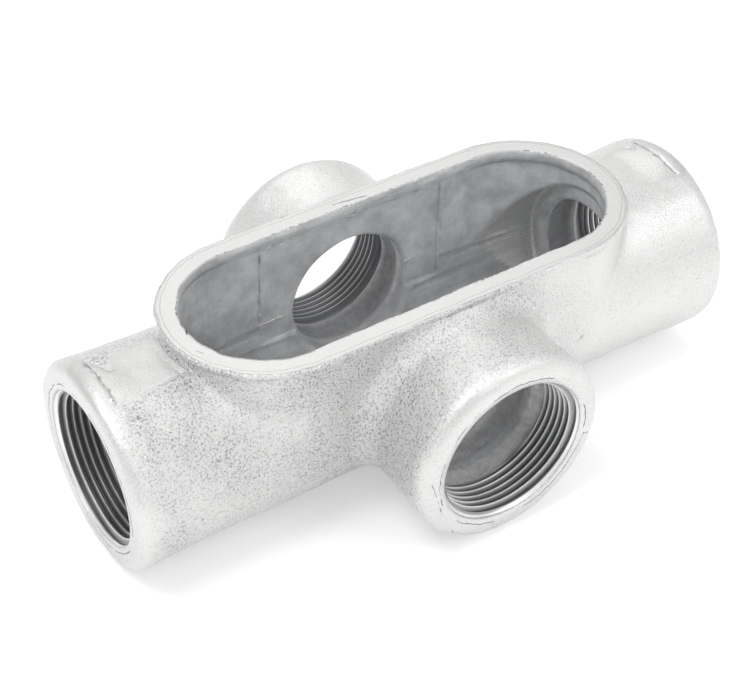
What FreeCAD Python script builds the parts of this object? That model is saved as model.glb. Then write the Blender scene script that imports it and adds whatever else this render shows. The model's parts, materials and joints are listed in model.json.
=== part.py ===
import FreeCAD, Part
import math
import os

import Sketcher

os.makedirs("parts", exist_ok=True)

# Cross-shaped conduit body, cast in one piece: a round barrel with a hub at each end, two side
# hubs at its middle, and a wiring chamber that opens upward through an obround rim.
# Millimetres. X runs along the barrel, Y along the side hubs, Z up through the opening.
# The features are drawn from the point where the hub axes cross; the finished body is then
# lifted, so that the document's origin lies under that point, on the surface it stands on.

# alias, value, what it is
sizes = [
    ("arcSpacing", 90.6, "chamber, between the centres of its two round ends"),
    ("barrelDia", 62.0, "barrel, outside, and the chamber's width"),
    ("endHubReach", 28.0, "end hub, from the chamber's end to its mouth"),
    ("sideHubReach", 28.25, "side hub, from the barrel's side to its mouth"),
    ("endHubGrowth", 0.8, "end hub's radius at its collar, over the barrel's"),
    ("collarLength", 6.0, "full-round collar behind an end mouth"),
    ("flareClearance", 0.7, "straight barrel between the chamber's fillet and an end hub's flare"),
    ("endMouthRound", 2.9, "rounding of an end hub's outer corner, drawn as two facets"),
    ("flatDrop", 2.0, "flat on top of an end hub, below the collar's crown"),
    ("flatDepth", 12.0, "how much stock the flat's cutter clears above it"),
    ("sideRootInset", 0.4, "side hub's radius at its root, under the barrel's"),
    ("sideHubGrowth", 1.0, "side hub's radius at its mouth, over that at its root"),
    ("sideMouthRound", 4.2, "rounding of a side hub's outer corner, drawn as two facets"),
    ("mouthLand", 0.5, "flat ring that a mouth keeps, however wide its bore"),
    ("facetShare", 0.3, "how far in the facets' shared edge lies, as a share of the rounding"),
    ("sideRootRound", 7.0, "fillet between a side hub and the barrel"),
    ("endRootRound", 3.0, "fillet between the chamber's end and an end hub"),
    ("rimRise", 3.5, "sealing face of the rim, above an end hub's crown"),
    ("rimThickness", 1.8, "rim plate that stands out past the wall"),
    ("rimOverhang", 0.7, "rim plate beyond the chamber wall"),
    ("rimBreak", 0.6, "broken outer edge of the rim"),
    ("coreWall", 4.6, "wall of the barrel and the chamber"),
    ("lipStep", 1.0, "inner lip of the opening, past the chamber wall"),
    ("lipDepth", 4.0, "inner lip of the opening, top to underside"),
    ("endWallClearance", 0.3, "round core's end beyond the chamber's end wall"),
    ("wallRun", 30.0, "extra height that lets the root fillets run out"),
    ("wallOverlap", 4.0, "side hub's root, inside the barrel's surface"),
    ("boreDia", 48.0, "tapped bore, across the roots of its thread"),
    ("boreDepth", 14.8, "from the mouth to the end of the tapped bore"),
    ("chamferRise", 0.2, "chamfer of a mouth, radius over the bore's"),
    ("chamferDepth", 0.55, "depth of that chamfer"),
    ("bushingRise", 3.4, "integral bushing's throat, radius under the bore's"),
    ("bushingLength", 4.5, "slope from the tapped bore to the throat"),
    ("throatLand", 2.5, "straight part of the throat"),
    ("neckRise", 2.0, "cored neck behind the bushing, radius under the bore's"),
    ("neckSlope", 1.5, "length of the slope at each end of the neck"),
    ("wallLipRise", 3.55, "lip where a bore enters the chamber, radius under the bore's"),
    ("endLipLand", 2.0, "width of that lip in an end hub"),
    ("sideLipLand", 4.85, "width of that lip in a side hub"),
    ("sideLipRound", 2.8, "rounding of a side hub's lip, chamber side"),
    ("endLipBreak", 0.9, "broken edge of an end hub's lip, chamber side"),
    ("seatWidth", 66.0, "flat core seat round a side bore, along the barrel"),
    ("seatClearance", 1.1, "wall between the core seat's top and the lip of the opening"),
    ("seatDrop", 6.0, "bottom of the core seat, below the axes"),
    ("seatDepth", 0.4, "step of the core seat into the chamber wall"),
]

# How edges are told apart when they are picked for a fillet or a chamfer.
closeEnough = 0.05  # a point this near a surface lies on it
shortEdge = 0.1  # anything shorter is a seam's end, never dressed
edgeSamples = 7  # points tested along an edge

doc = FreeCAD.newDocument("conduitBody")
sheet = doc.addObject("Spreadsheet::Sheet", "sizes")
for row, (alias, amount, note) in enumerate(sizes, start=1):
    sheet.set(f"A{row}", note)
    sheet.set(f"B{row}", str(amount))
    sheet.setAlias(f"B{row}", alias)
doc.recompute()


def value(expression):
    return float(sheet.evalExpression(expression.replace("sizes.", "")))


def newSketch(body, name, role, lift=None):
    """A sketch on one of the body's origin planes, raised along its normal by an expression."""
    sketch = body.newObject("Sketcher::SketchObject", name)
    plane = [item for item in body.Origin.OriginFeatures if item.Role == role][0]
    sketch.AttachmentSupport = [(plane, "")]
    sketch.MapMode = "FlatFace"
    if lift:
        sketch.setExpression("AttachmentOffset.Base.z", lift)
    doc.recompute()
    return sketch


def bind(sketch, kind, first, second, expression):
    """A dimension from one point to another, read from the sheet."""
    index = sketch.addConstraint(Sketcher.Constraint(kind, *first, *second, value(expression)))
    sketch.setExpression(f"Constraints[{index}]", expression)


def drawOutline(sketch, corners):
    """A closed outline of straight lines; a corner is a pair of expressions, None on an axis."""
    origin = (-1, 1)
    first = sketch.GeometryCount
    count = len(corners)
    points = [FreeCAD.Vector(*(value(item) if item else 0.0 for item in corner))
              for corner in corners]
    for index, point in enumerate(points):
        sketch.addGeometry(Part.LineSegment(point, points[(index + 1) % count]), False)
    for index, (across, along) in enumerate(corners):
        line = first + index
        before = first + (index - 1) % count
        sketch.addConstraint(Sketcher.Constraint("Coincident", before, 2, line, 1))
        if across:
            bind(sketch, "DistanceX", origin, (line, 1), across)
        else:
            sketch.addConstraint(Sketcher.Constraint("PointOnObject", line, 1, -2))
        if along:
            bind(sketch, "DistanceY", origin, (line, 1), along)
        else:
            sketch.addConstraint(Sketcher.Constraint("PointOnObject", line, 1, -1))


def drawObround(sketch, radius):
    """Two half circles about the arc centres, joined by two straight sides along X."""
    half = value(arcCentre)
    reach = value(radius)
    up = FreeCAD.Vector(0, 0, 1)
    for centre, start in ((half, -math.pi / 2), (-half, math.pi / 2)):
        ring = Part.Circle(FreeCAD.Vector(centre, 0, 0), up, reach)
        sketch.addGeometry(Part.ArcOfCircle(ring, start, start + math.pi), False)
    for side in (1, -1):
        sketch.addGeometry(Part.LineSegment(FreeCAD.Vector(side * half, side * reach, 0),
                                            FreeCAD.Vector(-side * half, side * reach, 0)), False)
    for line, start, end in ((2, 0, 1), (3, 1, 0)):
        sketch.addConstraint(Sketcher.Constraint("Tangent", start, 2, line, 1))
        sketch.addConstraint(Sketcher.Constraint("Tangent", line, 2, end, 1))
    sketch.addConstraint(Sketcher.Constraint("PointOnObject", 0, 3, -1))
    sketch.addConstraint(Sketcher.Constraint("PointOnObject", 1, 3, -1))
    bind(sketch, "DistanceX", (-1, 1), (0, 3), arcCentre)
    bind(sketch, "DistanceX", (-1, 1), (1, 3), f"-{arcCentre}")
    index = sketch.addConstraint(Sketcher.Constraint("Radius", 0, reach))
    sketch.setExpression(f"Constraints[{index}]", radius)


def revolve(body, kind, name, role, corners):
    """A full turn of an outline about its own horizontal axis, added or taken away."""
    sketch = newSketch(body, name + "Outline", role)
    drawOutline(sketch, corners)
    feature = body.newObject("PartDesign::" + kind, name)
    feature.Profile = sketch
    feature.ReferenceAxis = (sketch, ["H_Axis"])
    feature.Angle = 360
    finish(sketch)


def finish(sketch):
    sketch.Visibility = False
    doc.recompute()


def extrude(body, kind, name, sketch, length, upward):
    """A pad, or a pocket; upward is along +Z for a sketch that lies flat."""
    feature = body.newObject("PartDesign::" + kind, name)
    feature.Profile = sketch
    feature.setExpression("Length", length)
    feature.Reversed = upward != (kind == "Pad")
    finish(sketch)
    return feature


def mirrored(corners):
    """The corners of one half, then the same corners on the other side of the middle."""
    return corners + [(f"-({across})", along) for across, along in reversed(corners)]


def dressEdges(body, kind, name, amount, test):
    """A fillet or chamfer on every edge of the body so far whose whole length passes the test."""
    base = body.Tip
    edges = []
    for number, edge in enumerate(base.Shape.Edges, start=1):
        if edge.Degenerated or edge.Length < shortEdge:
            continue
        if all(test(point) for point in edge.discretize(edgeSamples)):
            edges.append(f"Edge{number}")
    if not edges:
        raise ValueError("no edge found for " + name)
    feature = body.newObject("PartDesign::" + kind, name)
    feature.Base = (base, edges)
    feature.setExpression("Radius" if kind == "Fillet" else "Size", amount)
    doc.recompute()


def near(measured, wanted):
    return abs(measured - wanted) < closeEnough


def aroundX(point):
    """Distance from the barrel's axis."""
    return (point.y ** 2 + point.z ** 2) ** 0.5


def aroundY(point):
    """Distance from the side hubs' axis."""
    return (point.x ** 2 + point.z ** 2) ** 0.5


def onBarrel(point, radius):
    """On a barrel of that radius: round below the axes, with upright flat sides above them."""
    return near(abs(point.y) if point.z > 0 else aroundX(point), radius)


def onSideHub(point):
    """On the outside of a side hub, whose radius grows from its root to its mouth."""
    start = value(sideRoot)
    slope = value("sizes.sideHubGrowth") / (value(sideMouth) - start)
    return near(aroundY(point), value(sideRootRadius) + slope * max(0, abs(point.y) - start))


def onChamberEnd(point):
    """On the half-round end of the chamber, seen from above, no higher than the flat."""
    along = abs(point.x) - value(arcCentre)
    around = (along ** 2 + point.y ** 2) ** 0.5
    low = point.z < value(flatTop) + closeEnough
    return low and along > -closeEnough and near(around, value(barrelRadius))


# Places and radii that follow from the sizes, as expressions for the sheet.
arcCentre = "sizes.arcSpacing / 2"
barrelRadius = "sizes.barrelDia / 2"
endHubRadius = f"({barrelRadius} + sizes.endHubGrowth)"
sideRootRadius = f"({barrelRadius} - sizes.sideRootInset)"
sideMouthRadius = f"({sideRootRadius} + sizes.sideHubGrowth)"
sideRoot = f"({barrelRadius} - sizes.wallOverlap)"
endMouth = f"({arcCentre} + {barrelRadius} + sizes.endHubReach)"
sideMouth = f"({barrelRadius} + sizes.sideHubReach)"
flareStart = f"({arcCentre} + {barrelRadius} + sizes.endRootRound + sizes.flareClearance)"
flatTop = f"({endHubRadius} - sizes.flatDrop)"
rimTop = f"({endHubRadius} + sizes.rimRise)"
rimUnderside = f"({rimTop} - sizes.rimThickness)"
lipUnderside = f"({rimTop} - sizes.lipDepth)"
coreRadius = f"({barrelRadius} - sizes.coreWall)"
boreRadius = "sizes.boreDia / 2"
wallLipRadius = f"({boreRadius} - sizes.wallLipRise)"
seatTop = f"{lipUnderside} - sizes.seatClearance"

conduitBody = doc.addObject("PartDesign::Body", "conduit_body")
conduitBody.Label = "conduit_body"


def mouthCorner(mouth, radius, wanted):
    """The rounded outer corner of a hub's mouth, no wider than the wall outside the bore allows."""
    rounding = f"min({wanted}; {radius} - {boreRadius} - sizes.chamferRise - sizes.mouthLand)"
    ease = f"{rounding} * sizes.facetShare"
    return [
        (mouth, f"{radius} - {rounding}"),
        (f"{mouth} - {ease}", f"{radius} - {ease}"),
        (f"{mouth} - {rounding}", radius),
    ]


# The barrel is straight past the chamber, then widens slowly to a full-round collar.
revolve(conduitBody, "Revolution", "barrel", "XZ_Plane", mirrored([
    (endMouth, None),
    *mouthCorner(endMouth, endHubRadius, "sizes.endMouthRound"),
    (f"{endMouth} - sizes.collarLength", endHubRadius),
    (flareStart, barrelRadius),
]))

# The flat on top of each end hub runs from its collar into the chamber's end.
flats = newSketch(conduitBody, "flatsOutline", "XY_Plane", flatTop)
for side in ("", "-"):
    inner = f"{side}({arcCentre} + {coreRadius})"
    outer = f"{side}({endMouth} - sizes.collarLength)"
    drawOutline(flats, [
        (inner, f"-{endHubRadius}"),
        (outer, f"-{endHubRadius}"),
        (outer, endHubRadius),
        (inner, endHubRadius),
    ])
extrude(conduitBody, "Pocket", "flats", flats, "sizes.flatDepth", True)

# The chamber's outside is drawn taller than it ends up, so that the fillets run out above it.
walls = newSketch(conduitBody, "chamberOutline", "XY_Plane")
drawObround(walls, barrelRadius)
extrude(conduitBody, "Pad", "chamber", walls, f"{rimUnderside} + sizes.wallRun", True)

# The side hubs are one taper each, widening from the barrel to the mouth.
revolve(conduitBody, "Revolution", "sideHubs", "YZ_Plane", mirrored([
    (sideMouth, None),
    *mouthCorner(sideMouth, sideMouthRadius, "sizes.sideMouthRound"),
    (sideRoot, sideRootRadius),
]))

dressEdges(conduitBody, "Fillet", "sideRoots", "sizes.sideRootRound",
           lambda point: onSideHub(point) and onBarrel(point, value(barrelRadius)))
dressEdges(conduitBody, "Fillet", "endRoots", "sizes.endRootRound", onChamberEnd)

# The walls are cut back to height, and the rim plate goes on top.
above = newSketch(conduitBody, "wallTrimOutline", "XY_Plane", rimUnderside)
drawOutline(above, [
    (f"-{endMouth}", f"-{sideMouth}"),
    (endMouth, f"-{sideMouth}"),
    (endMouth, sideMouth),
    (f"-{endMouth}", sideMouth),
])
extrude(conduitBody, "Pocket", "wallTrim", above, "sizes.wallRun * 2", True)
rimPlate = newSketch(conduitBody, "rimPlateOutline", "XY_Plane", rimUnderside)
drawObround(rimPlate, f"{barrelRadius} + sizes.rimOverhang")
extrude(conduitBody, "Pad", "rimPlate", rimPlate, "sizes.rimThickness", True)
dressEdges(conduitBody, "Chamfer", "rimBreaks", "sizes.rimBreak",
           lambda point: near(point.z, value(rimTop)))

# The opening, and below its lip the wider chamber, down to the axes.
opening = newSketch(conduitBody, "openingOutline", "XY_Plane", rimTop)
drawObround(opening, f"{coreRadius} - sizes.lipStep")
extrude(conduitBody, "Pocket", "opening", opening, "sizes.lipDepth", False)
chamber = newSketch(conduitBody, "coreOutline", "XY_Plane", lipUnderside)
drawObround(chamber, coreRadius)
extrude(conduitBody, "Pocket", "core", chamber, lipUnderside, False)


def wayIn(mouth, wall, land):
    """From a mouth inward: chamfer, tapped bore, bushing, neck, and the lip at the chamber wall."""
    threadEnd = f"{mouth} - sizes.boreDepth"
    throat = f"{threadEnd} - sizes.bushingLength"
    neck = f"{throat} - sizes.throatLand"
    return [
        (mouth, None),
        (mouth, f"{boreRadius} + sizes.chamferRise"),
        (f"{mouth} - sizes.chamferDepth", boreRadius),
        (threadEnd, boreRadius),
        (throat, f"{boreRadius} - sizes.bushingRise"),
        (neck, f"{boreRadius} - sizes.bushingRise"),
        (f"{neck} - sizes.neckSlope", f"{boreRadius} - sizes.neckRise"),
        (f"{wall} + {land} + sizes.neckSlope", f"{boreRadius} - sizes.neckRise"),
        (f"{wall} + {land}", wallLipRadius),
    ]


# Below the axes the chamber is round, along the barrel; each way in opens into it.
endWall = f"{arcCentre} + {coreRadius} + sizes.endWallClearance"
revolve(conduitBody, "Groove", "endWays", "XZ_Plane", mirrored([
    *wayIn(endMouth, endWall, "sizes.endLipLand"),
    (f"{endWall} + sizes.endLipBreak", wallLipRadius),
    (endWall, f"{wallLipRadius} + sizes.endLipBreak"),
    (endWall, coreRadius),
]))
revolve(conduitBody, "Groove", "sideWays", "YZ_Plane", mirrored([
    *wayIn(sideMouth, coreRadius, "sizes.sideLipLand"),
    (coreRadius, wallLipRadius),
]))

dressEdges(conduitBody, "Fillet", "sideLipRounds", "sizes.sideLipRound",
           lambda point: near(aroundY(point), value(wallLipRadius))
           and onBarrel(point, value(coreRadius)))

# Flat seats where the side cores stood against the main core, one cut through both walls.
seats = newSketch(conduitBody, "coreSeatOutline", "XZ_Plane")
drawOutline(seats, [
    ("-sizes.seatWidth / 2", "-sizes.seatDrop"),
    ("sizes.seatWidth / 2", "-sizes.seatDrop"),
    ("sizes.seatWidth / 2", seatTop),
    ("-sizes.seatWidth / 2", seatTop),
])
seatCut = conduitBody.newObject("PartDesign::Pocket", "coreSeats")
seatCut.Profile = seats
seatCut.setExpression("Length", f"2 * ({coreRadius} + sizes.seatDepth)")
seatCut.Midplane = True
finish(seats)

# Lifted, so that it stands on the collars of its end hubs.
conduitBody.setExpression("Placement.Base.z", endHubRadius)
doc.recompute()

for item in doc.Objects:
    if {"Invalid", "Error"} & set(item.State):
        raise ValueError(f"{item.Label} did not build: {item.State}")
for part in [conduitBody]:
    if part.Shape.isNull() or not part.Shape.isValid() or len(part.Shape.Solids) != 1:
        raise ValueError(f"{part.Label} is not one valid solid")
    part.Shape.exportStep(f"parts/{part.Label}.step")
    box = part.Shape.optimalBoundingBox(False)
    print(f"{part.Label}: {box.XLength:.2f} x {box.YLength:.2f} x {box.ZLength:.2f} mm,"
          f" {part.Shape.Volume / 1000:.1f} cm3, underside at {box.ZMin:.2f}")
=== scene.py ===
import json
import math

import bmesh
import bpy
import numpy as np
from mathutils import Matrix, Vector


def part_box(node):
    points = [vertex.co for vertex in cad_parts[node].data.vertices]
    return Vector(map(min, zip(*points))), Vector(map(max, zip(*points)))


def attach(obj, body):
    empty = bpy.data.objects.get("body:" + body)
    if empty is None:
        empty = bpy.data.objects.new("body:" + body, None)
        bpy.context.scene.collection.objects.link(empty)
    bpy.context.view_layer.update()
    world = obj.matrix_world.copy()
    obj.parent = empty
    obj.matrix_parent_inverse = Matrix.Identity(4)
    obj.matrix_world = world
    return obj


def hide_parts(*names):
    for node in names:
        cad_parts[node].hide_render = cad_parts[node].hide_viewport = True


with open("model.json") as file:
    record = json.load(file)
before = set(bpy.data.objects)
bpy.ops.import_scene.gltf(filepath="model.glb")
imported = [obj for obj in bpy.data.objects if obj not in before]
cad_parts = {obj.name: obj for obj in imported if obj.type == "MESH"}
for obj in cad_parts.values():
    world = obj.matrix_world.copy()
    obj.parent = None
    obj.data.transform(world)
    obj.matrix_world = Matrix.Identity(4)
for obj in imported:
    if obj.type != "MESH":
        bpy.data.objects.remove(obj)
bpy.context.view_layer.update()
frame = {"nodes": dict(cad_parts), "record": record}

mm = 0.001
castNode = "conduit_body"
boxLow, boxHigh = (np.array(corner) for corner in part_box(castNode))
hubMounts = [item for item in frame["record"]["mounts"] if item["kind"] == "threaded_hole"]
axisHeight = hubMounts[0]["pos_m"][2]  # where the hub axes cross, above the floor
print("frame loaded, hub axes", round(axisHeight / mm, 2), "mm up")


def linearColour(hexText):
    channels = np.array([int(hexText[i:i + 2], 16) for i in (1, 3, 5)]) / 255
    linear = np.where(channels <= 0.04045, channels / 12.92, ((channels + 0.055) / 1.055) ** 2.4)
    return (*linear.tolist(), 1.0)


def addNode(tree, kind, settings=None, links=None):
    made = tree.nodes.new(kind)
    for key, setting in (settings or {}).items():
        if isinstance(key, str) and hasattr(made, key):
            setattr(made, key, setting)
        else:
            made.inputs[key].default_value = setting
    for key, source in (links or {}).items():
        tree.links.new(source, made.inputs[key])
    return made


def ramp(tree, source, stops):
    made = addNode(tree, "ShaderNodeValToRGB", links={"Fac": source})
    while len(made.color_ramp.elements) < len(stops):
        made.color_ramp.elements.new(0.5)
    for element, (place, level) in zip(made.color_ramp.elements, stops):
        element.position = place
        element.color = (level, level, level, 1.0)
    return made


def newMaterial(name):
    material = bpy.data.materials.new(name)
    material.use_nodes = True
    material.node_tree.nodes.clear()
    return material, material.node_tree


# Smooth rolling relief: a sum of sine waves, each running in its own direction with its own
# phase. Its wavelengths spread around the one given; its height is about 1 either way.
def rollingRelief(points, wavelength, waves, seed):
    draw = np.random.default_rng(seed)
    directions = draw.normal(size=(waves, 3))
    directions /= np.linalg.norm(directions, axis=1, keepdims=True)
    lengths = wavelength * draw.uniform(0.7, 1.6, waves)
    phases = draw.uniform(0, 2 * math.pi, waves)
    angles = points @ (directions * (2 * math.pi / lengths[:, None])).T + phases
    return np.sin(angles).sum(axis=1) / math.sqrt(waves)


def smoothStep(low, high, amounts):
    share = np.clip((amounts - low) / (high - low), 0, 1)
    return share * share * (3 - 2 * share)


casting = {
    "mergeWithin": 0.002 * mm,
    "sharpAbove": 50,  # degrees
    "longestEdge": 2.2 * mm,
    "rimEdge": 1.1 * mm,  # finer round the rim, where the edge wanders
    "passes": 7,
    "curve": 0.5,  # this share of the way to the corners' tangent planes lies on an arc
    "flatWithin": 1.5,  # degrees between a corner's normal and its facet's
    "swellHeight": 0.10 * mm,
    "swellLength": 15 * mm,
    "rippleHeight": 0.045 * mm,
    "rippleLength": 5 * mm,
    "rimWander": 0.16 * mm,
    "rimWanderLength": 8 * mm,
    "arcCentre": 45.3 * mm,
    "chamberRadius": 26.4 * mm,
    "wallRadius": 31.0 * mm,
    "rimUnderside": 65.3 * mm,
    "boreRadius": 24.3 * mm,
    "tappedDepth": 14.7 * mm,
    "hubRadius": 31.8 * mm,
    "collarLength": 6.0 * mm,
    "flatHeight": 29.8 * mm,
    "flatBlend": 11.0 * mm,
    "climbShare": 0.94,
}


def cornerNormals(mesh):
    normals = np.empty(len(mesh.loops) * 3, dtype=np.float32)
    mesh.corner_normals.foreach_get("vector", normals)
    return normals.reshape(-1, 3).astype(float)


def readArray(items, name, width, kind=np.float32):
    flat = np.empty(len(items) * width, dtype=kind)
    items.foreach_get(name, flat)
    return flat.reshape(-1, width) if width > 1 else flat


def smoothByAngle(mesh, degrees):
    mesh.shade_smooth()
    mesh.set_sharp_from_angle(angle=math.radians(degrees))


# The frame's triangles, joined up and divided until none of their edges is long. Each new
# point is then lifted towards the planes that touch the surface at the old triangle's corners,
# in proportion to how near it lies to each, which turns the flat facets back into arcs.
def fineSurface(source, values):
    mesh = source.data.copy()
    work = bmesh.new()
    work.from_mesh(mesh)
    bmesh.ops.remove_doubles(work, verts=work.verts, dist=values["mergeWithin"])
    bmesh.ops.dissolve_degenerate(work, edges=work.edges, dist=values["mergeWithin"])
    bmesh.ops.triangulate(work, faces=work.faces)
    work.to_mesh(mesh)
    work.free()
    for layer in list(mesh.color_attributes):
        mesh.color_attributes.remove(layer)
    smoothByAngle(mesh, values["sharpAbove"])

    holder = bpy.data.objects.new("weighing", mesh)
    bpy.context.collection.objects.link(holder)
    weigh = holder.modifiers.new("weigh", "WEIGHTED_NORMAL")
    weigh.mode = "FACE_AREA"
    weigh.keep_sharp = True
    bpy.context.view_layer.update()
    weighed = holder.evaluated_get(bpy.context.evaluated_depsgraph_get()).to_mesh()
    normals = cornerNormals(weighed)
    bpy.data.objects.remove(holder)

    points = readArray(mesh.vertices, "co", 3).astype(float)
    loopPoint = readArray(mesh.loops, "vertex_index", 1, np.int32)
    facets = readArray(mesh.polygons, "normal", 3).astype(float)
    loopFacet = np.repeat(facets, 3, axis=0)
    flat = (normals * loopFacet).sum(axis=1) > math.cos(math.radians(values["flatWithin"]))
    normals[flat] = loopFacet[flat]
    corners = points[loopPoint]
    onNormal = (corners * normals).sum(axis=1, keepdims=True) * normals
    squares = normals * normals
    products = normals * np.roll(normals, -1, axis=1)  # xy, yz, zx
    for name, amounts in (("squares", squares), ("products", products), ("onNormal", onNormal)):
        layer = mesh.attributes.new(name, "FLOAT_VECTOR", "CORNER")
        layer.data.foreach_set("vector", amounts.astype(np.float32).ravel())

    work = bmesh.new()
    work.from_mesh(mesh)
    for step in range(values["passes"]):
        longEdges = []
        for edge in work.edges:
            first, second = (corner.co for corner in edge.verts)
            nearRim = min(first.z, second.z) > values["rimUnderside"] - 1 * mm
            if edge.calc_length() > (values["rimEdge"] if nearRim else values["longestEdge"]):
                longEdges.append(edge)
        if not longEdges:
            break
        bmesh.ops.subdivide_edges(work, edges=longEdges, cuts=1)
        bmesh.ops.triangulate(work, faces=[face for face in work.faces if len(face.verts) > 3])
    work.to_mesh(mesh)
    work.free()

    points = readArray(mesh.vertices, "co", 3).astype(float)
    loopPoint = readArray(mesh.loops, "vertex_index", 1, np.int32)
    squares, products, onNormal = (readArray(mesh.attributes[name].data, "vector", 3).astype(float)
                                   for name in ("squares", "products", "onNormal"))
    at = points[loopPoint]
    xy, yz, zx = products.T
    along = np.stack([squares[:, 0] * at[:, 0] + xy * at[:, 1] + zx * at[:, 2],
                      xy * at[:, 0] + squares[:, 1] * at[:, 1] + yz * at[:, 2],
                      zx * at[:, 0] + yz * at[:, 1] + squares[:, 2] * at[:, 2]], axis=1)
    lift = values["curve"] * (onNormal - along)
    count = np.bincount(loopPoint, minlength=len(points))
    total = np.stack([np.bincount(loopPoint, lift[:, axis], len(points))
                      for axis in range(3)], axis=1)
    points += total / np.maximum(count, 1)[:, None]
    mesh.vertices.foreach_set("co", points.astype(np.float32).ravel())
    for name in ("squares", "products", "onNormal"):
        mesh.attributes.remove(mesh.attributes[name])
    mesh.update()
    return mesh


# Where a point lies: inside the chamber or a cored way, on the ground rim, or on an end hub's flat.
def castZones(points, values):
    x, y, up = points[:, 0], points[:, 1], points[:, 2] - axisHeight
    aroundArc = np.hypot(np.maximum(np.abs(x) - values["arcCentre"], 0), y)
    aroundX, aroundY = np.hypot(y, up), np.hypot(x, up)
    onTop = points[:, 2] > boxHigh[2] - 0.05 * mm
    inEndWay = (aroundX < values["boreRadius"]) & (np.abs(x) < boxHigh[0] - values["tappedDepth"])
    inSideWay = (aroundY < values["boreRadius"]) & (np.abs(y) < boxHigh[1] - values["tappedDepth"])
    wall = values["chamberRadius"] + 1.5 * mm
    inChamber = (aroundArc < wall) & ((up > 0) | (aroundX < wall))
    inside = (inChamber | inEndWay | inSideWay) & ~onTop
    inBore = ~inside & ((aroundX < values["boreRadius"]) | (aroundY < values["boreRadius"])) & ~onTop
    onFlat = ((up > values["flatHeight"] - 0.1 * mm) & (aroundArc > values["wallRadius"] + 1 * mm)
              & (np.abs(x) > values["arcCentre"]))
    return inside, inBore, onTop, onFlat


# The flat on top of an end hub runs out into the round collar, so it climbs to the
# collar's crown in a smooth S, and only a sliver of the step is left.
def blendFlats(points, values):
    x, y, up = np.abs(points[:, 0]), points[:, 1], points[:, 2] - axisHeight
    collar = boxHigh[0] - values["collarLength"]
    crown = np.sqrt(np.maximum(values["hubRadius"] ** 2 - y ** 2, 0))
    share = smoothStep(collar - values["flatBlend"], collar, x)
    onTop = ((up > values["flatHeight"] - 0.05 * mm) & (x > collar - values["flatBlend"])
             & (x < collar + 0.05 * mm))
    climbed = values["flatHeight"] + (crown - values["flatHeight"]) * share * values["climbShare"]
    onWall = onTop & (x > collar - 0.05 * mm)
    rest = (up - values["flatHeight"]) / np.maximum(crown - values["flatHeight"], 0.01 * mm)
    onStep = climbed + (crown - climbed) * np.clip(rest, 0, 1)
    target = np.where(onWall, onStep, np.maximum(climbed, up)) + axisHeight
    points[:, 2] = np.where(onTop & (crown > values["flatHeight"]), target, points[:, 2])


# Takes the hard edges off what is left of the step.
def softenSteps(mesh, values):
    points = readArray(mesh.vertices, "co", 3)
    ends = readArray(mesh.edges, "vertices", 2, np.int32)
    collar = boxHigh[0] - values["collarLength"]
    atCollar = np.abs(np.abs(points[:, 0]) - collar) < 0.3 * mm
    near = atCollar & (points[:, 2] > axisHeight + values["flatHeight"] - 0.3 * mm)
    sharp = mesh.attributes["sharp_edge"]
    hard = readArray(sharp.data, "value", 1, bool)
    hard &= ~near[ends].all(axis=1)
    sharp.data.foreach_set("value", hard)


castMesh = fineSurface(frame["nodes"][castNode], casting)
castPoints = readArray(castMesh.vertices, "co", 3).astype(float)
blendFlats(castPoints, casting)
castMesh.vertices.foreach_set("co", castPoints.astype(np.float32).ravel())
castMesh.update()
inside, inBore, onTop, onFlat = castZones(castPoints, casting)
castNormals = readArray(castMesh.vertices, "normal", 3).astype(float)
asCast = np.where(inBore | onTop, 0.0, np.where(inside, 0.5, 1.0))
relief = (casting["swellHeight"] * rollingRelief(castPoints, casting["swellLength"], 40, 3)
          + casting["rippleHeight"] * rollingRelief(castPoints, casting["rippleLength"], 60, 8))
castPoints += castNormals * (relief * asCast)[:, None]

# The rim's inner and outer edges wander in and out a little along its length.
pastArc = np.maximum(np.abs(castPoints[:, 0]) - casting["arcCentre"], 0)
outward = np.stack([np.sign(castPoints[:, 0]) * pastArc, castPoints[:, 1],
                    np.zeros(len(castPoints))], axis=1)
outward /= np.maximum(np.linalg.norm(outward, axis=1, keepdims=True), 1e-9)
onRim = castPoints[:, 2] > casting["rimUnderside"] - 0.1 * mm
wander = casting["rimWander"] * rollingRelief(castPoints, casting["rimWanderLength"], 50, 21)
castPoints += outward * (wander * onRim)[:, None]
castPoints = np.clip(castPoints, boxLow, boxHigh)
castMesh.vertices.foreach_set("co", castPoints.astype(np.float32).ravel())
castMesh.update()
smoothByAngle(castMesh, casting["sharpAbove"])
softenSteps(castMesh, casting)
print("casting surface:", len(castMesh.vertices), "points,", len(castMesh.polygons), "triangles")

zoneColours = castMesh.attributes.new("zone", "FLOAT_VECTOR", "POINT")
zones = np.stack([inside, onFlat, onTop], axis=1).astype(np.float32)
zoneColours.data.foreach_set("vector", zones.ravel())


# A mesh of four-sided faces from a grid of points; a closed one joins its last column to its first.
def gridMesh(name, points, closed=False):
    index = np.arange(points.shape[0] * points.shape[1]).reshape(points.shape[:2])
    if closed:
        index = np.hstack([index, index[:, :1]])
    quads = np.stack([index[:-1, :-1], index[:-1, 1:], index[1:, 1:], index[1:, :-1]], axis=-1)
    mesh = bpy.data.meshes.new(name)
    mesh.from_pydata(points.reshape(-1, 3), [], quads.reshape(-1, 4))
    return mesh


# Joins a grid's seams and closed-up ends, and turns its faces outward.
def sealed(mesh, sharpAbove):
    work = bmesh.new()
    work.from_mesh(mesh)
    bmesh.ops.remove_doubles(work, verts=work.verts, dist=0.001 * mm)
    bmesh.ops.dissolve_degenerate(work, edges=work.edges, dist=0.001 * mm)
    bmesh.ops.recalc_face_normals(work, faces=work.faces)
    work.to_mesh(mesh)
    work.free()
    smoothByAngle(mesh, sharpAbove)
    return mesh


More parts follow.
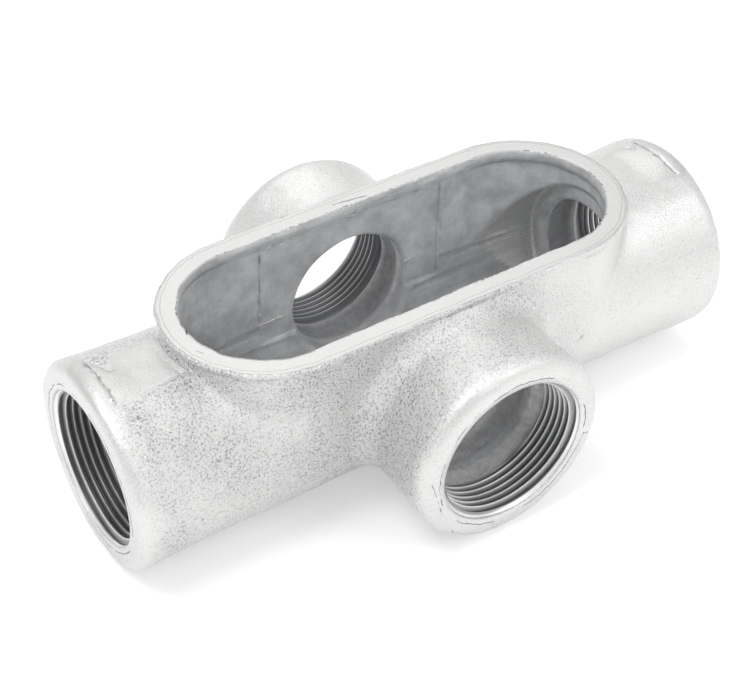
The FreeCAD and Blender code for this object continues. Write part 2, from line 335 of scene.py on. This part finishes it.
flash = {
    "radius": 0.42 * mm,
    "step": 0.35 * mm,
    "sides": 8,
    "wall": 26.6 * mm,
    "swellLength": 3.2 * mm,
    "breakLength": 6 * mm,
    "endLength": 1.2 * mm,
    "lines": [  # corners along X and up from the axes, in mm, and how much of the line is left
        ([(-31.4, 30.1), (-12, 30.3), (10, 30.1), (31.6, 30.2)], 0.75),
        ([(-32.0, 28.6), (-32.8, 12), (-33.6, -6)], 0.45),
        ([(-34.0, 1.6), (-21.8, 1.9)], 0.8),
        ([(33.5, 21), (34.1, 10), (34.3, 0.6)], 0.5),
        ([(19.8, 3.9), (28.3, 5.2)], 0.8),
        ([(-31.0, -5.9), (-24, -6.1)], 0.6),
    ],
}


# A bead of flash: a circle carried along a path on the wall. Its radius rises and falls with a
# sum of sines, drops to a thread where the bead has broken away, and closes to a point at both
# ends.
def flashBead(name, corners, left, values, seed):
    corners = np.array(corners) * mm
    spans = np.linalg.norm(np.diff(corners, axis=0), axis=1)
    along = np.concatenate([[0], np.cumsum(spans)])
    steps = np.linspace(0, along[-1], int(along[-1] / values["step"]))
    x, up = (np.interp(steps, along, corners[:, axis]) for axis in (0, 1))
    line = np.stack([steps, np.zeros_like(steps), np.zeros_like(steps)], axis=1)
    swell = rollingRelief(line, values["swellLength"], 12, seed)
    gaps = rollingRelief(line, values["breakLength"], 12, seed + 1)
    broken = smoothStep(-0.25, 0.35, gaps + 2 * left - 1)
    ends = np.clip(np.minimum(steps, along[-1] - steps) / values["endLength"], 0, 1)
    radius = values["radius"] * (0.75 + 0.25 * swell) * (0.12 + 0.88 * broken) * np.sqrt(ends)
    around = np.arange(values["sides"]) * 2 * math.pi / values["sides"]
    heading = np.stack([np.gradient(x), np.gradient(up)], axis=1)
    heading /= np.linalg.norm(heading, axis=1, keepdims=True)
    sideways = radius[:, None] * np.cos(around)[None, :]
    points = np.stack([x[:, None] - heading[:, 1:] * sideways,
                       values["wall"] - radius[:, None] * np.sin(around)[None, :],
                       axisHeight + up[:, None] + heading[:, :1] * sideways], axis=-1)
    return sealed(gridMesh(name, points, closed=True), 60)


thread = {
    "pitch": 25.4 / 11.5 * mm,
    "start": 0.56 * mm,  # depth from the mouth
    "end": 15.65 * mm,
    "rootRadius": 23.88 * mm,  # at the mouth
    "crestRadius": 22.26 * mm,
    "taper": 1 / 32,  # of the radius, along the depth
    "flatShare": 0.11,  # flat on a crest or a root, as a share of the pitch
    "entryRadius": 23.9 * mm,  # cone that cuts the first crests
    "entryDepth": 0.55 * mm,
    "entrySlope": 0.9,
    "fadeFrom": 14.0 * mm,
    "fadeTo": 15.1 * mm,
    "hiddenRadius": 24.3 * mm,
    # the countersunk mouth gets the crests' painted highlight down to here
    "brightFrom": 1.3 * mm,  # the countersunk mouth is bright down to here
    "brightTo": 2.0 * mm,
    "columns": 224,
    "startTurn": {"left_hub": 0.36, "right_hub": 0.1, "front_hub": 0.04, "back_hub": 0.55},
}


# A tapered inside thread. Depth runs with the angle, one pitch a turn, and the radius is the
# root's less the thread's height times a V that is cut flat at its top and bottom; it follows
# where the point lies between two turns. The ends are cut square, and a hidden outer wall
# closes the sleeve.
def threadSleeve(name, mouth, inward, values, startTurn):
    flat = values["flatShare"]
    breaks = np.array([0, flat / 2, 0.25, 0.5 - flat / 2,
                       0.5, 0.5 + flat / 2, 0.75, 1 - flat / 2])
    turns = math.ceil(values["end"] / values["pitch"]) + 1
    rows = (np.arange(-1, turns)[:, None] + breaks[None, :]).ravel()
    angles = np.linspace(0, 2 * math.pi, values["columns"] + 1)
    depth = values["pitch"] * (rows[:, None] + angles[None, :] / (2 * math.pi))
    depth = np.clip(depth, values["start"], values["end"])
    phase = (depth / values["pitch"] - angles[None, :] / (2 * math.pi)) % 1
    lift = np.clip((1 - np.abs(2 * phase - 1) - flat) / (1 - 2 * flat), 0, 1)
    root = values["rootRadius"] - values["taper"] * depth
    entry = values["entryRadius"] - values["entrySlope"] * (depth - values["entryDepth"])
    crest = np.maximum(values["crestRadius"] - values["taper"] * depth, entry)
    fade = 1 - smoothStep(values["fadeFrom"], values["fadeTo"], depth)
    height = values["rootRadius"] - values["crestRadius"]
    lift = lift * np.clip((root - crest) / height, 0, 1) * fade
    shown = lift * fade
    radius = root - lift * height
    closing = np.full((2, len(angles)), values["hiddenRadius"])
    closingDepth = np.array([[values["end"]], [values["start"]]]) * np.ones((1, len(angles)))
    radius = np.vstack([radius, closing, radius[:1]])
    depth = np.vstack([depth, closingDepth, depth[:1]])
    around = angles[None, :] + 2 * math.pi * startTurn
    inward = np.array(inward)
    across = np.cross(inward, [0, 0, 1.0])
    upward = np.cross(inward, across)
    points = (np.array(mouth) + depth[..., None] * inward
              + (radius * np.cos(around))[..., None] * across
              + (radius * np.sin(around))[..., None] * upward)
    mesh = gridMesh(name, points)
    # painted light: 0 at a root, painted shade, up to 1 at a crest and on the countersunk mouth,
    # painted highlight
    paintedLight = mesh.attributes.new("paintedLight", "FLOAT", "POINT")  # 0 at a root, 1 at a crest
    bright = np.maximum(shown, smoothStep(values["brightTo"], values["brightFrom"], depth[:-3]))
    paintedLight.data.foreach_set("value", np.vstack([bright, np.zeros((2, len(angles))), bright[:1]]).ravel())
    return sealed(mesh, 30)


def addPiece(name, mesh, material):
    piece = bpy.data.objects.new(name, mesh)
    bpy.context.collection.objects.link(piece)
    mesh.materials.clear()
    mesh.materials.append(material)
    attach(piece, "root")
    return piece


skin = {
    "brightMetal": "#EDEDEC",
    "pitMetal": "#86878A",
    "flatMetal": "#DDDDDC",
    "rimMetal": "#DDDDDC",
    "insideLight": "#E6E7E8",
    "insideDark": "#C4C5C7",
    "neckShadeMetal": "#77787A",
    "fleckMetal": "#FAFAFA",
    "rimMarkMetal": "#8C8B8A",
    "ringMetal": "#5E5D5C",
    "knockAndShadeMetal": "#4E4D4C",
    "grainSize": 0.62 * mm,
    "fineSize": 0.30 * mm,
    "grainDepth": 0.62 * mm,
    "patchSize": 24 * mm,
    "pitShare": 0.80,
    "speckShare": 0.36,
    "roughness": 0.43,
    "insideRoughness": 0.22,  # added inside
    "insideDulling": 0.62,  # how much less metallic the inside is
    "endMouth": (95 * mm, 7 * mm),  # smoother past the first, in full after the second
    "sideMouth": (54 * mm, 4 * mm),
    "mouthSmoothness": 0.72,
    "flatSmoothness": 0.6,
    "rimSmoothness": 0.85,
    "insideSmoothness": 0.55,
    "faintX": (8 * mm, 45 * mm),  # fainter past the first, in full after the second
    "faintY": (5 * mm, 25 * mm),
    "faintness": 0.72,
    "flatShare": 0.8,  # how much of the flats' own colour shows
    # reach and share of the painted shade in corners and creases
    "cornerShadeReach": 14 * mm,
    "cornerShadeShare": 0.5,
    "blotchSize": 8 * mm,
    "fleckSize": 2.2 * mm,
    "flecksFrom": (73 * mm, 29 * mm),  # along X and along Y
    # painted shade in the necks of the ways: where it starts along X and Y, and how dark
    "neckShades": ((73 * mm, 0.6), (30 * mm, 0.35)),  # start along X and Y, and shade
    "neckOver": 1.5 * mm,
    "neckEnd": 18.8 * mm,  # depth from the mouth
    "neckEndOver": 0.6 * mm,
    # painted shade on the inside, towards the bottom
    "bottomShade": (6 * mm, 22 * mm),  # darker below the first height, in full after the second
    "bottomShadeShare": 0.5,
    "driftSize": 7 * mm,  # the wander of the rim's marks
    "drift": 1.5 * mm,
    "stopRadius": 29.9 * mm,
    "stopLine": 0.11 * mm,
    "stopShare": 0.45,
    "innerEdge": 25.95 * mm,
    "outerEdge": 31.25 * mm,
    "chipSize": 1.6 * mm,
    "chipSpread": 14 * mm,
    "chipShare": 0.8,
    "scuffShare": 0.16,
    "ringRadius": 25.7 * mm,  # edge of the faced ring round a mouth
    "ringLine": 0.16 * mm,
    "ringDepth": 1.0 * mm,
    "ringShare": 0.85,
    "ringWaverSize": 5 * mm,
    "ringWaver": 1.6 * mm,
    "ringBreakSize": 11 * mm,
    "knockShakeSize": 1.4 * mm,
    "knockShake": 0.9 * mm,
    "knockEdge": 0.12 * mm,
    "knocksAndRimShade": [  # from, to, in mm about the crossing of the axes, half width, darkness
        ((-71.3, -0.9, 35.3), (-70.6, 0.4, 35.3), 0.30, 0.9),
        ((-72.6, -8.3, 35.3), (-71.2, -10.2, 35.3), 0.18, 0.6),
        ((-5.6, 28.3, 35.3), (5.8, 26.9, 35.3), 0.26, 0.75),
        ((-28.1, -58.9, 2.0), (-25.2, -59.2, -9.0), 0.20, 0.6),
        ((-25.2, -59.2, -9.0), (-19.7, -58.3, -22.1), 0.28, 0.8),
        ((25.9, -59.2, -5.6), (27.6, -58.8, -6.6), 0.30, 0.85),
        ((25.9, -59.2, -5.6), (23.9, -59.2, -11.4), 0.20, 0.6),
        ((-4.8, -58.1, -29.7), (-3.2, -58.2, -30.0), 0.30, 0.8),
        ((13.8, -58.1, -26.7), (15.0, -58.2, -26.0), 0.30, 0.8),
        ((-85.6, -31.0, -3.4), (-85.4, -31.0, -3.2), 0.34, 0.85),
        ((-97.0, -31.7, -1.7), (-96.7, -31.7, -1.6), 0.26, 0.7),
        ((-98.4, -31.6, -3.4), (-98.2, -31.6, -3.3), 0.22, 0.6),
        # painted shade: the dark gap where the rim's left end overhangs the hub's flat
        ((-77.7, 4.5, 33.5), (-77.8, -4.4, 33.5), 0.22, 0.8),
    ],
}


# Sand-cast aluminium, left bare: pale satin metal with a hammered grain whose pits stay grey,
# drawn smoother near the hubs' mouths and on the flats, duller and more matte inside. Painted shade
# darkens the corners, the ways' necks, the inside towards the bottom and a line under the rim's
# left end. The rim is ground, and a dark broken line runs round each faced mouth.
def castSkin(values):
    material, tree = newMaterial("sand cast aluminium")
    place = addNode(tree, "ShaderNodeTexCoord").outputs["Object"]
    zones = addNode(tree, "ShaderNodeSeparateXYZ", links={
        0: addNode(tree, "ShaderNodeAttribute", {"attribute_name": "zone"}).outputs["Vector"]})
    inside, flat, top = zones.outputs

    def noise(size, detail, roughness=0.5, distortion=0.0):
        return addNode(tree, "ShaderNodeTexNoise", {
            "Scale": 1 / size, "Detail": detail, "Roughness": roughness, "Distortion": distortion},
            {"Vector": place}).outputs["Fac"]

    def combine(operation, first, second=0.0, clamp=False):
        made = addNode(tree, "ShaderNodeMath", {"operation": operation, "use_clamp": clamp})
        for index, item in enumerate((first, second)):
            if isinstance(item, (int, float)):
                made.inputs[index].default_value = item
            else:
                tree.links.new(item, made.inputs[index])
        return made.outputs[0]

    def blend(share, first, second):
        made = addNode(tree, "ShaderNodeMix", {"data_type": "RGBA"})
        for index, item in ((0, share), (6, first), (7, second)):
            socket = made.inputs[index]
            if isinstance(item, (int, float, tuple)):
                socket.default_value = item
            else:
                tree.links.new(item, socket)
        return made.outputs[2]

    def stepped(source, stops):
        return ramp(tree, source, stops).outputs["Color"]

    def past(source, start, span):
        return combine("DIVIDE", combine("SUBTRACT", source, start), span, clamp=True)

    grain = noise(values["grainSize"], 2.0, 0.55, 0.25)
    fine = noise(values["fineSize"], 2.0, 0.6)
    patches = stepped(noise(values["patchSize"], 3.0, 0.55), [(0.34, 0.50), (0.60, 1.0)])
    axes = addNode(tree, "ShaderNodeSeparateXYZ", links={0: place}).outputs
    acrossX, acrossY = combine("ABSOLUTE", axes[0]), combine("ABSOLUTE", axes[1])
    up = combine("SUBTRACT", axes[2], axisHeight)
    nearEnd = past(acrossX, *values["endMouth"])
    nearSide = past(acrossY, *values["sideMouth"])
    nearMouth = combine("MULTIPLY", combine("MAXIMUM", nearEnd, nearSide), values["mouthSmoothness"])
    smoothFlat = combine("MULTIPLY", flat, values["flatSmoothness"])
    finished = combine("MAXIMUM", smoothFlat, combine("MULTIPLY", top, values["rimSmoothness"]))
    smoothInside = combine("MULTIPLY", inside, values["insideSmoothness"])
    finished = combine("MAXIMUM", finished, smoothInside)
    # The grain is drawn fainter towards +X and +Y, where less of it shows.
    fainterX, fainterY = past(axes[0], *values["faintX"]), past(axes[1], *values["faintY"])
    fainter = combine("MULTIPLY", combine("MAXIMUM", fainterX, fainterY), values["faintness"])
    finished = combine("MAXIMUM", finished, fainter)
    smooth = combine("MAXIMUM", nearMouth, finished)
    rough = combine("MULTIPLY", patches, combine("SUBTRACT", 1.0, smooth))

    pits = stepped(grain, [(0.33, 1.0), (0.47, 0.15), (0.58, 0.0)])
    specks = stepped(fine, [(0.34, 1.0), (0.44, 0.0)])
    pitsAndCornerShade = combine("ADD", combine("MULTIPLY", pits, values["pitShare"]),
                   combine("MULTIPLY", specks, values["speckShare"]))
    # Painted shade: more and darker grey pits are drawn in corners and creases, where ambient occlusion
    # is low.
    corners = addNode(tree, "ShaderNodeAmbientOcclusion",
                      {"samples": 6, "Distance": values["cornerShadeReach"]})
    cornerShade = stepped(corners.outputs["AO"], [(0.45, 1.0), (0.80, 0.0)])
    grainAndCornerShade = combine("ADD", rough, combine("MULTIPLY", cornerShade, values["cornerShadeShare"]))
    pitsAndCornerShade = combine("MULTIPLY", pitsAndCornerShade, grainAndCornerShade, clamp=True)
    outside = blend(pitsAndCornerShade, linearColour(values["brightMetal"]), linearColour(values["pitMetal"]))
    flatColour = combine("MULTIPLY", flat, values["flatShare"])
    outside = blend(flatColour, outside, linearColour(values["flatMetal"]))
    outside = blend(top, outside, linearColour(values["rimMetal"]))

    # Inside: blotches, pale flecks in the ways, painted shade in the necks, and painted shade darkening
    # towards the bottom.
    blotches = stepped(noise(values["blotchSize"], 5.0, 0.62), [(0.35, 0.0), (0.65, 1.0)])
    within = blend(blotches, linearColour(values["insideDark"]), linearColour(values["insideLight"]))
    flecks = stepped(noise(values["fleckSize"], 4.0, 0.7), [(0.44, 0.0), (0.62, 0.7)])
    fromX, fromY = values["flecksFrom"]
    ways = combine("MAXIMUM", combine("GREATER_THAN", acrossX, fromX),
                   combine("GREATER_THAN", acrossY, fromY))
    within = blend(combine("MULTIPLY", flecks, ways), within, linearColour(values["fleckMetal"]))
    neckShadeMetal = linearColour(values["neckShadeMetal"])
    # Painted shade: the necks of the ways are drawn grey.
    for reach, along, (start, shade) in zip(boxHigh, (acrossX, acrossY), values["neckShades"]):
        begun = past(along, start, values["neckOver"])
        left = combine("SUBTRACT", float(reach) - values["neckEnd"], along)
        left = combine("DIVIDE", left, values["neckEndOver"], clamp=True)
        neckShade = combine("MULTIPLY", combine("MULTIPLY", begun, left), shade)
        within = blend(neckShade, within, neckShadeMetal)
    # Painted shade: the inside is drawn darker, in the necks' grey, towards the bottom.
    deepFrom, deepOver = values["bottomShade"]
    bottomShade = combine("DIVIDE", combine("SUBTRACT", deepFrom, up), deepOver, clamp=True)
    within = blend(combine("MULTIPLY", bottomShade, values["bottomShadeShare"]), within, neckShadeMetal)

    # The ground rim: a thin line short of its outer edge, and chipped edges.
    beyond = combine("MAXIMUM", combine("SUBTRACT", acrossX, casting["arcCentre"]), 0.0)
    squares = combine("ADD", combine("MULTIPLY", beyond, beyond),
                      combine("MULTIPLY", axes[1], axes[1]))
    fromArc = combine("SQRT", squares)
    drift = combine("SUBTRACT", noise(values["driftSize"], 3.0, 0.6), 0.5)
    fromArc = combine("ADD", fromArc, combine("MULTIPLY", drift, values["drift"]))
    fromStop = combine("ABSOLUTE", combine("SUBTRACT", fromArc, values["stopRadius"]))
    stopLine = combine("LESS_THAN", fromStop, values["stopLine"])
    innerEdge = combine("LESS_THAN", fromArc, values["innerEdge"])
    outerEdge = combine("GREATER_THAN", fromArc, values["outerEdge"])
    chips = combine("MULTIPLY",
                    stepped(noise(values["chipSize"], 3.0, 0.65), [(0.48, 0.0), (0.56, 1.0)]),
                    stepped(noise(values["chipSpread"], 2.0), [(0.46, 0.15), (0.54, 1.0)]))
    edges = combine("MULTIPLY", combine("MAXIMUM", innerEdge, outerEdge), values["chipShare"])
    rimMarks = combine("ADD", combine("MULTIPLY", stopLine, values["stopShare"]),
                       combine("MULTIPLY", chips, edges))
    scuffs = combine("MULTIPLY", stepped(fine, [(0.36, 1.0), (0.50, 0.0)]), values["scuffShare"])
    rimMarks = combine("MULTIPLY", combine("ADD", rimMarks, scuffs), top, clamp=True)
    outside = blend(rimMarks, outside, linearColour(values["rimMarkMetal"]))
    colour = blend(inside, outside, within)

    # Faced ring round each mouth, and the broken dark line at its edge.
    waver = combine("SUBTRACT", noise(values["ringWaverSize"], 3.0, 0.6), 0.5)
    waver = combine("MULTIPLY", waver, values["ringWaver"])
    broken = stepped(noise(values["ringBreakSize"], 2.0), [(0.47, 0.0), (0.52, 1.0)])
    for reach, along, side in ((boxHigh[0], acrossX, axes[1]), (boxHigh[1], acrossY, axes[0])):
        atMouth = combine("GREATER_THAN", along, float(reach) - values["ringDepth"])
        squares = combine("ADD", combine("MULTIPLY", side, side), combine("MULTIPLY", up, up))
        edge = combine("ADD", waver, values["ringRadius"])
        fromEdge = combine("ABSOLUTE", combine("SUBTRACT", combine("SQRT", squares), edge))
        line = combine("LESS_THAN", fromEdge, values["ringLine"])
        mark = combine("MULTIPLY", combine("MULTIPLY", line, broken), atMouth)
        mark = combine("MULTIPLY", mark, values["ringShare"])
        colour = blend(mark, colour, linearColour(values["ringMetal"]))

    # Knocks, casting marks, and a line of painted shade under the rim's left end: dark where a point
    # lies near one of these lines.
    def vector(operation, settings=None, links=None):
        return addNode(tree, "ShaderNodeVectorMath", {"operation": operation, **(settings or {})},
                       links).outputs

    shaken = addNode(tree, "ShaderNodeTexNoise", {
        "Scale": 1 / values["knockShakeSize"], "Detail": 2.0}, {"Vector": place})
    shake = values["knockShake"]
    shift = vector("MULTIPLY_ADD", {1: (shake,) * 3, 2: (-shake / 2,) * 3},
                   {0: shaken.outputs["Color"]})
    wobbly = vector("ADD", links={0: place, 1: shift[0]})[0]
    for start, end, width, darkness in values["knocksAndRimShade"]:
        start = np.array(start) * mm + (0, 0, axisHeight)
        span = np.array(end) * mm + (0, 0, axisHeight) - start
        offset = vector("SUBTRACT", {1: start}, {0: wobbly})[0]
        share = vector("DOT_PRODUCT", {1: span / (span @ span)}, {0: offset})["Value"]
        share = combine("ADD", share, 0.0, clamp=True)
        foot = vector("SCALE", {0: span}, {"Scale": share})[0]
        gap = vector("DISTANCE", links={0: offset, 1: foot})["Value"]
        near = combine("SUBTRACT", width * mm, gap)
        near = combine("DIVIDE", near, values["knockEdge"], clamp=True)
        knockAndShade = combine("MULTIPLY", near, darkness)
        colour = blend(knockAndShade, colour, linearColour(values["knockAndShadeMetal"]))

    relief = combine("ADD", grain, combine("MULTIPLY", fine, 0.35))
    bump = addNode(tree, "ShaderNodeBump", {"Strength": 1.0, "Distance": values["grainDepth"]},
                   {"Height": combine("MULTIPLY", relief, combine("ADD", rough, 0.06))})
    spread = combine("MULTIPLY", combine("SUBTRACT", fine, 0.5), 0.25)
    roughness = combine("ADD", combine("ADD", spread, values["roughness"]),
                        combine("MULTIPLY", inside, values["insideRoughness"]))
    bareness = combine("SUBTRACT", 1.0, combine("MULTIPLY", inside, values["insideDulling"]))
    shader = addNode(tree, "ShaderNodeBsdfPrincipled", links={
        "Base Color": colour, "Metallic": bareness, "Roughness": roughness,
        "Normal": bump.outputs[0]})
    addNode(tree, "ShaderNodeOutputMaterial", links={"Surface": shader.outputs[0]})
    return material


cut = {
    # painted highlight on the crests, painted shade in the roots
    "crestHighlightMetal": "#FAFAFA",
    "rootShadeMetal": "#949597",
    "scratchSize": 0.45 * mm,
    "scratchDepth": 0.03 * mm,
    "dullFrom": 30 * mm,  # along Y
    "dullShare": 0.25,  # of the crests' brightness left past there
}


# The same aluminium, cut by a tap: a painted highlight on the crests over painted shade in the roots,
# with the fine torn grain that the teeth leave.
def cutThread(values):
    material, tree = newMaterial("tapped aluminium")
    place = addNode(tree, "ShaderNodeTexCoord").outputs["Object"]
    paintedLight = addNode(tree, "ShaderNodeAttribute", {"attribute_name": "paintedLight"}).outputs["Fac"]
    torn = addNode(tree, "ShaderNodeTexNoise", {
        "Scale": 1 / values["scratchSize"], "Detail": 3.0}, {"Vector": place})
    # Painted highlight on the crests, painted shade in the roots.
    crestHighlight = ramp(tree, paintedLight, [(0.20, 0.0), (0.80, 0.28), (0.96, 1.0)])
    # The painted highlight on the crests is weaker in the hub towards +Y, where they hardly show.
    axes = addNode(tree, "ShaderNodeSeparateXYZ", links={0: place})
    left = values["dullShare"]
    bright = addNode(tree, "ShaderNodeMath", {"operation": "LESS_THAN", 1: values["dullFrom"]},
                     {0: axes.outputs[1]})
    kept = addNode(tree, "ShaderNodeMath", {"operation": "MULTIPLY_ADD", 1: 1 - left, 2: left},
                   {0: bright.outputs[0]})
    crestHighlight = addNode(tree, "ShaderNodeMath", {"operation": "MULTIPLY"},
                   {0: crestHighlight.outputs["Color"], 1: kept.outputs[0]})
    colour = addNode(tree, "ShaderNodeMix", {
        "data_type": "RGBA", 6: linearColour(values["rootShadeMetal"]),
        7: linearColour(values["crestHighlightMetal"])}, {0: crestHighlight.outputs[0]})
    level = ramp(tree, torn.outputs["Fac"], [(0.3, 0.34), (0.7, 0.52)])
    bump = addNode(tree, "ShaderNodeBump", {"Strength": 0.6, "Distance": values["scratchDepth"]},
                   {"Height": torn.outputs["Fac"]})
    shader = addNode(tree, "ShaderNodeBsdfPrincipled", {"Metallic": 1.0}, {
        "Base Color": colour.outputs[2], "Roughness": level.outputs["Color"],
        "Normal": bump.outputs[0]})
    addNode(tree, "ShaderNodeOutputMaterial", links={"Surface": shader.outputs[0]})
    return material


skinMaterial = castSkin(skin)
threadMaterial = cutThread(cut)
castPiece = addPiece("cast_surface", castMesh, skinMaterial)
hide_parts(castNode)
for number, (corners, left) in enumerate(flash["lines"]):
    name = "flash_" + str(number + 1)
    addPiece(name, flashBead(name, corners, left, flash, 40 + 7 * number), skinMaterial)
for hub in hubMounts:
    outward = np.array(hub["axis"], dtype=float)
    mouth = outward * np.abs(boxHigh) * (np.abs(outward) > 0.5)
    mouth[2] = axisHeight
    startTurn = thread["startTurn"][hub["name"]]
    sleeve = threadSleeve(hub["name"] + "_thread", mouth, -outward, thread, startTurn)
    addPiece(hub["name"] + "_thread", sleeve, threadMaterial)
print("threads cut in", len(hubMounts), "hubs")

studio = {
    "floorSize": 4.0,
    "floorColour": "#F4F4F4",
    "floorGlow": 0.29,  # seen by the camera
    "reflectedGlow": 0.16,  # seen in the metal
    "skyLevel": 0.58,
    "horizonLevel": 0.86,
    "lamps": {  # place, size across, power
        "overhead": ((0.25, 0.55, 0.90), 0.80, 1.9),
        "right": ((0.40, -0.70, 0.85), 0.50, 2.0),
        "left": ((-0.40, -0.05, 1.00), 0.35, 2.7),
    },
}

floorMesh = bpy.data.meshes.new("floor")
half = studio["floorSize"] / 2
floorCorners = [(-half, -half, 0), (half, -half, 0), (half, half, 0), (-half, half, 0)]
floorMesh.from_pydata(floorCorners, [], [(0, 1, 2, 3)])
floor = bpy.data.objects.new("floor", floorMesh)
bpy.context.collection.objects.link(floor)
floor.location.z = boxLow[2] - 0.02 * mm

# White paper. The camera sees it glow a little, so that it is white wherever nothing
# shades it and keeps the soft shadow under the casting. From below it can't be seen.
floorMaterial, tree = newMaterial("white paper sweep")
path = addNode(tree, "ShaderNodeLightPath")
mirrored = addNode(tree, "ShaderNodeMath", {"operation": "MULTIPLY", 1: studio["reflectedGlow"]},
                   {0: path.outputs["Is Glossy Ray"]})
glow = addNode(tree, "ShaderNodeMath", {"operation": "MULTIPLY_ADD", 1: studio["floorGlow"]},
               {0: path.outputs["Is Camera Ray"], 2: mirrored.outputs[0]})
matte = addNode(tree, "ShaderNodeBsdfDiffuse", {"Color": linearColour(studio["floorColour"])})
shine = addNode(tree, "ShaderNodeEmission", {"Color": (1, 1, 1, 1)}, {"Strength": glow.outputs[0]})
both = addNode(tree, "ShaderNodeAddShader", links={0: matte.outputs[0], 1: shine.outputs[0]})
below = addNode(tree, "ShaderNodeNewGeometry").outputs["Backfacing"]
clear = addNode(tree, "ShaderNodeBsdfTransparent").outputs[0]
oneSided = addNode(tree, "ShaderNodeMixShader", links={0: below, 1: both.outputs[0], 2: clear})
addNode(tree, "ShaderNodeOutputMaterial", links={"Surface": oneSided.outputs[0]})
floorMesh.materials.append(floorMaterial)

world = bpy.data.worlds.new("studio")
bpy.context.scene.world = world
world.use_nodes = True
tree = world.node_tree
tree.nodes.clear()
direction = addNode(tree, "ShaderNodeSeparateXYZ", links={
    0: addNode(tree, "ShaderNodeTexCoord").outputs["Generated"]})
level = addNode(tree, "ShaderNodeMapRange", {
    1: 0.0, 2: 1.0, 3: studio["horizonLevel"], 4: studio["skyLevel"]}, {0: direction.outputs["Z"]})
path = addNode(tree, "ShaderNodeLightPath")
seen = addNode(tree, "ShaderNodeMix", {"data_type": "FLOAT", 3: 1.0},
               {0: path.outputs["Is Camera Ray"], 2: level.outputs[0]})
sky = addNode(tree, "ShaderNodeBackground", {"Color": (1, 1, 1, 1)}, {"Strength": seen.outputs[0]})
addNode(tree, "ShaderNodeOutputWorld", links={"Surface": sky.outputs[0]})


# A square lamp that faces the crossing of the hub axes.
def softLight(name, place, size, power):
    data = bpy.data.lights.new(name, "AREA")
    data.shape = "SQUARE"
    data.size = size
    data.energy = power
    lamp = bpy.data.objects.new(name, data)
    bpy.context.collection.objects.link(lamp)
    lamp.location = place
    facing = Vector(place) - Vector((0, 0, axisHeight))
    lamp.rotation_euler = facing.to_track_quat("Z", "Y").to_euler()


for name, (place, size, power) in studio["lamps"].items():
    softLight(name, place, size, power)

view = {
    "azimuth": -33.798,
    "elevation": 40.958,
    "roll": 0.658,
    "distance": 524.6 * mm,
    "right": -6.98 * mm,
    "up": -2.42 * mm,
    "lens": 82.17,
    "sensor": 36.0,
}
turn, rise, roll = (math.radians(view[key]) for key in ("azimuth", "elevation", "roll"))
back = Vector((math.sin(turn) * math.cos(rise), -math.cos(turn) * math.cos(rise), math.sin(rise)))
level = Vector((math.cos(turn), math.sin(turn), 0))
upright = back.cross(level)
right = math.cos(roll) * level + math.sin(roll) * upright
up = -math.sin(roll) * level + math.cos(roll) * upright
eye = right * view["right"] + up * view["up"] + back * view["distance"] + Vector((0, 0, axisHeight))
cameraData = bpy.data.cameras.new("camera")
cameraData.lens = view["lens"]
cameraData.sensor_width = view["sensor"]
cameraData.sensor_fit = "HORIZONTAL"
cameraData.dof.use_dof = False
camera = bpy.data.objects.new("camera", cameraData)
bpy.context.collection.objects.link(camera)
facing = Matrix((right, up, back)).transposed().to_4x4()
camera.matrix_world = Matrix.Translation(eye) @ facing
bpy.context.scene.camera = camera
bpy.context.scene.view_settings.view_transform = "Standard"
print("floor, light and camera set")
